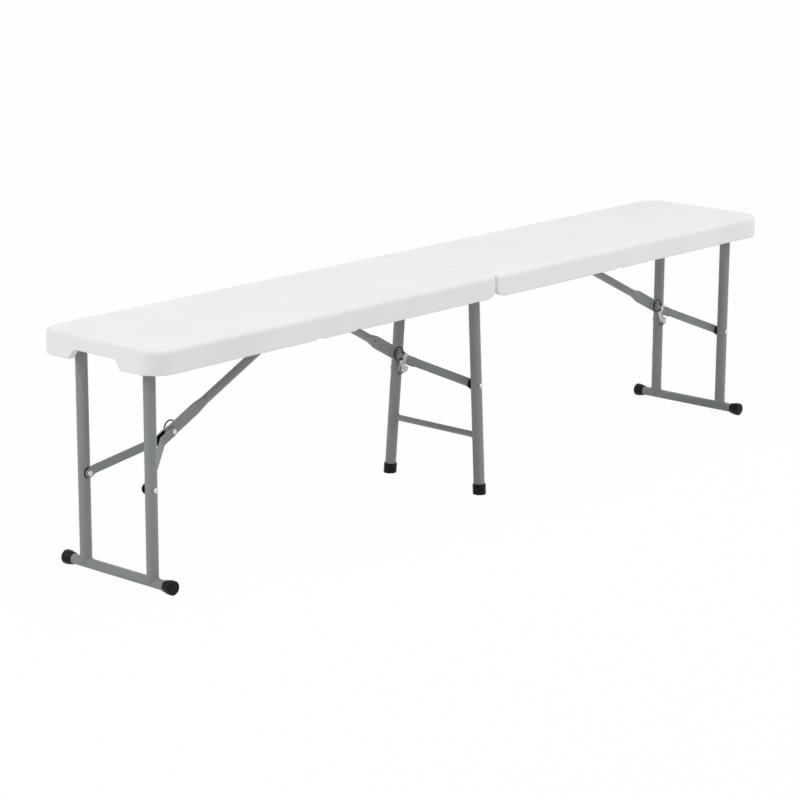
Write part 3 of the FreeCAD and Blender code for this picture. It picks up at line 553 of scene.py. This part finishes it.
# The outline of a surface in the plane square to the axis.
def outlineOf(surface, centre, axis, radius, count):
    return [surface.ray_cast(centre + outward * radius, -outward, radius)[0]
            for outward in spokes(axis, count)]


# Weld beads where the tubes meet, coated together with the steel: a row of small overlapping
# lumps round each joint.
weldSeam = {
    "thicknessMm": 1.9,
    "lump": 0.18,           # share of the thickness that swells and shrinks
    "lumps": 17,
    "points": 68,
    "tubeRadiusMm": 11.0,
    "crossbarRadiusMm": 6.0,
    "topLean": 29.3,        # degrees from upright of the middle tubes above their bend
    "startMm": 34.0,        # how far off the joint the search for its line starts
    "setbackMm": 3.0,       # how far before the pivot's axis that search ends
}


def weldThickness(share):
    swell = math.sin(weldSeam["lumps"] * 2 * math.pi * share)
    return weldSeam["thicknessMm"] * (1 + weldSeam["lump"] * swell)


def addWeld(name, target, centre, axis, radius, reach, body):
    path = seamOnto(surfaceOf(target), centre, axis, radius * mm, reach, weldSeam["points"])
    mesh = bmesh.new()
    sweepBead(mesh, path, weldThickness)
    addPiece(name, mesh, "leg_steel", body)


def makeEndWelds():
    radius = weldSeam["tubeRadiusMm"]
    start = weldSeam["startMm"] * mm
    for side in ("left", "right"):
        for end in ("front", "rear"):
            low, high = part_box(f"leg_tube_{end}_{side}")
            middle = (low + high) / 2
            body = bodyOf(f"leg_tube_{end}_{side}")
            foot = Vector((middle.x, middle.y, low.z + start))
            top = Vector((middle.x, middle.y, high.z - start))
            addWeld(f"weldFoot_{end}_{side}", f"foot_tube_{side}", foot, Vector((0, 0, -1)),
                    radius, start, body)
            addWeld(f"weldTop_{end}_{side}", f"pivot_tube_{side}", top, Vector((0, 0, 1)),
                    radius, start, body)


def makeMiddleWelds():
    radius = weldSeam["tubeRadiusMm"]
    start = weldSeam["startMm"] * mm
    low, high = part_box("pivot_tube_middle")
    pivot = (low + high) / 2
    lean = math.radians(weldSeam["topLean"])
    upward = Vector((-math.sin(lean), 0, math.cos(lean)))
    low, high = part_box("crossbar_middle")
    bar = (low + high) / 2
    body = bodyOf("crossbar_middle")
    for end, heading in (("front", -1), ("rear", 1)):
        low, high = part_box(f"leg_tube_{end}_middle")
        topY = low.y + radius * mm if heading > 0 else high.y - radius * mm
        top = Vector((pivot.x, topY, pivot.z)) - upward * start
        addWeld(f"weldTop_{end}_middle", "pivot_tube_middle", top, upward,
                radius, start - weldSeam["setbackMm"] * mm, body)
        beside = Vector((bar.x, topY / 2, bar.z))
        addWeld(f"weldBar_{end}", f"leg_tube_{end}_middle", beside, Vector((0, heading, 0)),
                weldSeam["crossbarRadiusMm"], abs(topY), body)


# Rivets through the leg tubes, in place of the plain ones: a flat head with a drilled end
# on the arm, and a domed one outside the tube, in the shallow ring that the press leaves.
tubeRivet = {
    "points": 32,
    "shankMm": 3.95,
    "headHeightMm": 2.0,
    # radius and height in mm, from the floor of the bore to the rim of the flat head
    "flatHead": [(1.33, 2.4), (1.9, 0.4), (2.47, 0.0), (3.92, 0.0), (4.9, 0.9), (4.9, 2.0)],
    "domeMm": 4.7,
    # share of the dome's radius, and height in mm above its seat
    "dome": [(1.0, 0.2), (1.0, 0.8), (0.93, 1.3), (0.75, 1.8), (0.48, 2.2), (0.2, 2.4),
             (0.04, 2.4)],
    "neckMm": 0.1,          # the shank reaches this far past the seat of the dome
    "dentMm": 5.5,
    "dentThicknessMm": 0.45,
    "dentDepthMm": 1.2,     # below the crown of the tube
}


def makeTubeRivets():
    shank = tubeRivet["shankMm"]
    tall = tubeRivet["headHeightMm"]
    points = tubeRivet["points"]
    for name in ("left", "middle", "right"):
        node = f"arm_rivets_{name}"
        mesh = bmesh.new()
        dents = bmesh.new()
        for low, high in looseParts(node):
            axis, inner = placeOf(low, high)[1:3]
            seat = (high.y - low.y) / mm - tall
            profile = tubeRivet["flatHead"] + [(shank, tall), (shank, seat + tubeRivet["neckMm"])]
            profile += [(tubeRivet["domeMm"] * share, seat + height)
                        for share, height in tubeRivet["dome"]]
            skinRings(mesh, turnedRings(inner, axis, profile, points))
            face = inner + axis * ((seat - tubeRivet["dentDepthMm"]) * mm)
            ring = circleRound(face, axis, tubeRivet["dentMm"] * mm, points)
            sweepBead(dents, ring, tubeRivet["dentThicknessMm"])
        piece = addPiece(f"tubeRivets_{name}", mesh, "zinc_plated", bodyOf(node))
        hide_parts(node)
        addPiece(f"rivetDents_{name}", dents, "leg_steel", bodyOf(node))


# Domed caps of the knee rivets. The lock side of a knee is coated grey with its arm.
kneeCrown = {
    "points": 32,
    "skirtMm": 2.0,
    "riseMm": 0.9,
    "radiusMm": 4.9,
    # shares of the radius and of the rise, above the skirt
    "crown": [(1.0, -1.0), (0.93, -0.2), (0.78, 0.4), (0.52, 0.8), (0.24, 1.0), (0.05, 1.0)],
    "greyKnees": ("middle", "right"),
}


def makeKneeCrowns():
    radius = kneeCrown["radiusMm"]
    profile = [(radius, -kneeCrown["skirtMm"])]
    profile += [(radius * share, kneeCrown["riseMm"] * height)
                for share, height in kneeCrown["crown"]]
    for name in ("left", "middle", "right"):
        node = f"knee_rivets_{name}"
        for low, high in looseParts(node):
            end, axis, _, tip = placeOf(low, high)
            grey = end == "front" and name in kneeCrown["greyKnees"]
            mesh = bmesh.new()
            skinRings(mesh, turnedRings(tip, axis, profile, kneeCrown["points"]))
            addPiece(f"kneeCrown_{end}_{name}", mesh,
                     "brace_steel" if grey else "zinc_plated", bodyOf(node))


# Foot caps: a raised rim and a gate mark on the outer face, and ribs round the sleeve.
capTrim = {
    "points": 48,
    "outerMm": 13.2,        # radius of the outer face
    "rimMm": 10.2,
    "rimThicknessMm": 0.9,
    # radius and height in mm
    "gate": [(2.4, -0.3), (2.4, 0.3), (1.68, 0.6), (0.48, 0.6)],
    "mouthMm": 1.1,         # rib this far from the mouth of a flared cap
    "ribThicknessMm": 0.55,
    "standingRibsMm": (5.5, 15.5),
    "searchMm": 20.0,
}


def addRib(mesh, surface, centre, axis):
    path = outlineOf(surface, centre, axis, capTrim["searchMm"] * mm, capTrim["points"])
    sweepBead(mesh, path, capTrim["ribThicknessMm"])


def makeFlaredTrim():
    points = capTrim["points"]
    for side in ("left", "right"):
        node = f"foot_caps_{side}"
        surface = surfaceOf(node)
        for low, high in looseParts(node):
            end, axis, mouth, face = placeOf(low, high)
            mouth.z = face.z = high.z - capTrim["outerMm"] * mm
            mesh = bmesh.new()
            rim = circleRound(face, axis, capTrim["rimMm"] * mm, points)
            sweepBead(mesh, rim, capTrim["rimThicknessMm"])
            skinRings(mesh, turnedRings(face, axis, capTrim["gate"], points))
            addRib(mesh, surface, mouth + axis * (capTrim["mouthMm"] * mm), axis)
            addPiece(f"capTrim_{end}_{side}", mesh, "black_plastic", bodyOf(node))


def makeStandingTrim():
    node = "foot_caps_middle"
    surface = surfaceOf(node)
    for low, high in looseParts(node):
        end = placeOf(low, high)[0]
        centre = (low + high) / 2
        mesh = bmesh.new()
        for height in capTrim["standingRibsMm"]:
            addRib(mesh, surface, Vector((centre.x, centre.y, height * mm)),
                   Vector((0, 0, 1)))
        addPiece(f"capTrim_{end}_middle", mesh, "black_plastic", bodyOf(node))


# Pan-head screws with a cross recess, in place of the plain ones under the seat.
panScrew = {
    "points": 48,
    "headMm": 4.0,
    "headHeightMm": 1.4,
    # shares of the head's radius and height, from its seat downwards
    "head": [(1.0, 1.0), (1.0, 0.6), (0.9, 0.25), (0.72, 0.05)],
    "shankMm": 1.95,
    "shortMm": 0.2,         # the shank is this much shorter than the plain one
    "crossLengthMm": 2.2,
    "crossWidthMm": 0.5,
    "crossDepthMm": 0.9,
    "crossTaper": 0.6,
    "leastShare": 0.001,    # keeps a straight direction from dividing by zero
}


def crossRadius(angle):
    arm = panScrew["crossLengthMm"]
    side = panScrew["crossWidthMm"]
    across = max(abs(math.cos(angle)), panScrew["leastShare"])
    along = max(abs(math.sin(angle)), panScrew["leastShare"])
    return max(min(arm / across, side / along), min(side / across, arm / along))


def crossFloor(angle):
    return crossRadius(angle) * panScrew["crossTaper"]


def makeScrews():
    shank = panScrew["shankMm"]
    tall = panScrew["headHeightMm"]
    below = [(panScrew["headMm"] * share, tall * height) for share, height in panScrew["head"]]
    below += [(crossRadius, 0.0), (crossFloor, panScrew["crossDepthMm"])]
    for side in ("left", "right"):
        node = f"bracket_screws_{side}"
        mesh = bmesh.new()
        for low, high in looseParts(node):
            foot = Vector(((low.x + high.x) / 2, (low.y + high.y) / 2, low.z))
            shankTop = (high.z - low.z) / mm - panScrew["shortMm"]
            skinRings(mesh, turnedRings(foot, Vector((0, 0, 1)),
                                        [(shank, shankTop), (shank, tall)] + below,
                                        panScrew["points"]))
        piece = addPiece(f"panScrews_{side}", mesh, "zinc_plated", bodyOf(node))
        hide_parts(node)


# Small punched mark on the front of the middle link, where the tube starts to flatten: a grey rim
# round a pit coloured black, which is painted shade inside the pit.
punchMark = {
    "alongMm": 78.0,        # from the knee
    "upMm": 1.5,
    "earMm": 9.0,           # the pin lies this far above the lowest point of its bracket
    "searchMm": 50.0,
    "points": 24,
    # radius and height in mm
    "rim": [(3.3, -0.6), (3.135, 0.12), (2.5, 0.2), (2.25, -0.1)],
    "pit": [(2.5, -0.5), (2.375, 0.05), (0.75, -0.05)],
}


def makePunchMark():
    low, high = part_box("knee_pin_middle")
    knee = (low + high) / 2
    low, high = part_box("brace_bracket_left")
    anchor = Vector(((low.x + high.x) / 2, 0, low.z + punchMark["earMm"] * mm))
    along = (anchor - knee).normalized()
    backward = Vector((0, 1, 0))
    upward = backward.cross(along)
    if upward.z < 0:
        upward.negate()
    spot = knee + along * (punchMark["alongMm"] * mm) + upward * (punchMark["upMm"] * mm)
    search = punchMark["searchMm"] * mm
    link = surfaceOf("brace_link_middle")
    hit = link.ray_cast(spot - backward * search, backward, 2 * search)[0]
    # The pit takes the black cap finish: painted shade inside the punched pit, not a black part.
    for name, profile, slotName in (("punchRim", punchMark["rim"], "brace_steel"),
                                    ("punchPitPaintedShade", punchMark["pit"], "black_plastic")):
        mesh = bmesh.new()
        skinRings(mesh, turnedRings(hit, Vector((0, -1, 0)), profile, punchMark["points"]))
        addPiece(name, mesh, slotName, bodyOf("brace_link_middle"))


makeEndWelds()
makeMiddleWelds()
print("welds laid")
makeTubeRivets()
makeKneeCrowns()
print("rivets set")
makeFlaredTrim()
makeStandingTrim()
print("foot caps trimmed")
makeScrews()
makePunchMark()
print("screws and punch mark set")
